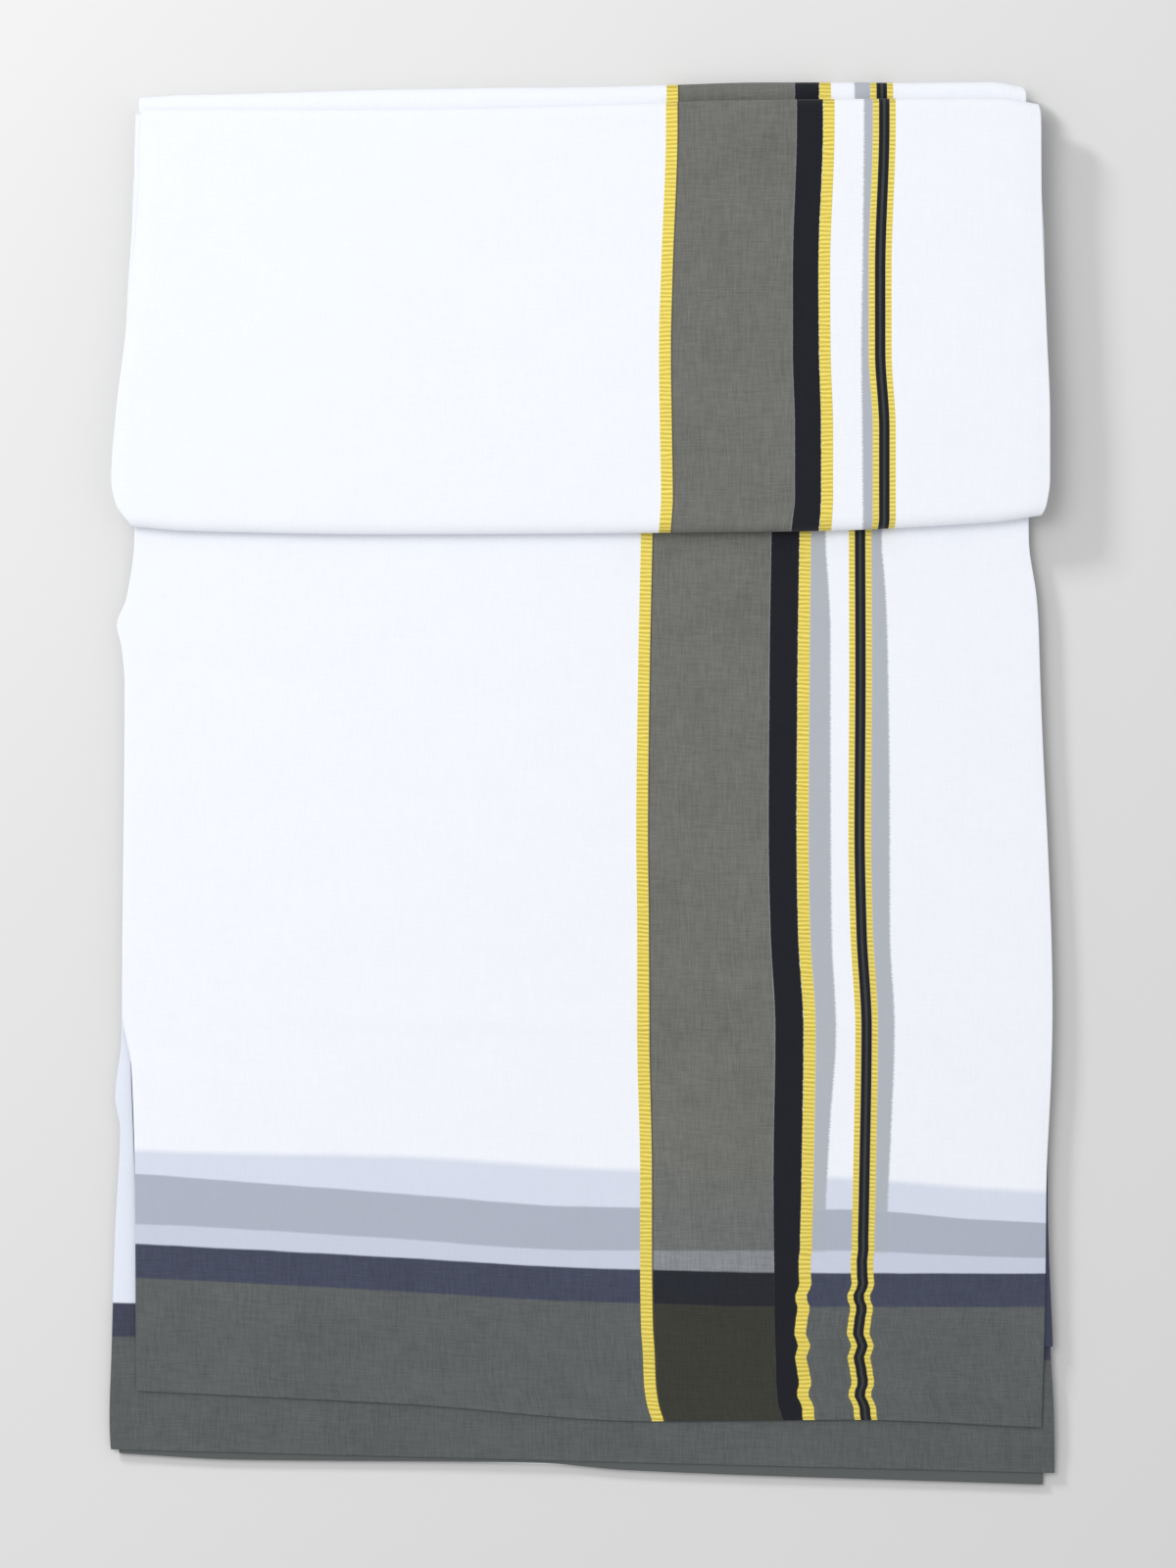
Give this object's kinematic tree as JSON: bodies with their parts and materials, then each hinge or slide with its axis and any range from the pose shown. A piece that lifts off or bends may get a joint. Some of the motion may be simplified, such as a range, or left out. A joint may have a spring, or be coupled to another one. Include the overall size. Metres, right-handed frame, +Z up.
{
  "type": "folded dhoti cloth",
  "caption": "White cotton dhoti with coloured borders, folded in a flat pile with its border end showing and the rest turned over into a block.",
  "frame": {"origin": "on the table, under the middle of the folded pile", "axes": "+Z up off the table, +Y along the pile from the border end to the folded block, +X to the right as seen from the border end"},
  "size_m": [0.4358, 0.6469, 0.0156],
  "materials": {
    "plain_cotton": "plain woven white cotton",
    "striped_cotton": "white cotton with green, black and gold thread stripes",
    "green_border": "grey-green woven end border",
    "navy_border": "navy woven end border"
  },
  "bodies": {
    "root": {"base_layers": "plain_cotton", "end_third": "green_border", "end_second": "striped_cotton", "end_inner": "navy_border", "end_face": "striped_cotton", "flap_layers": "plain_cotton", "flap_face": "striped_cotton", "rear_fold": "striped_cotton"}
  },
  "joints": []
}
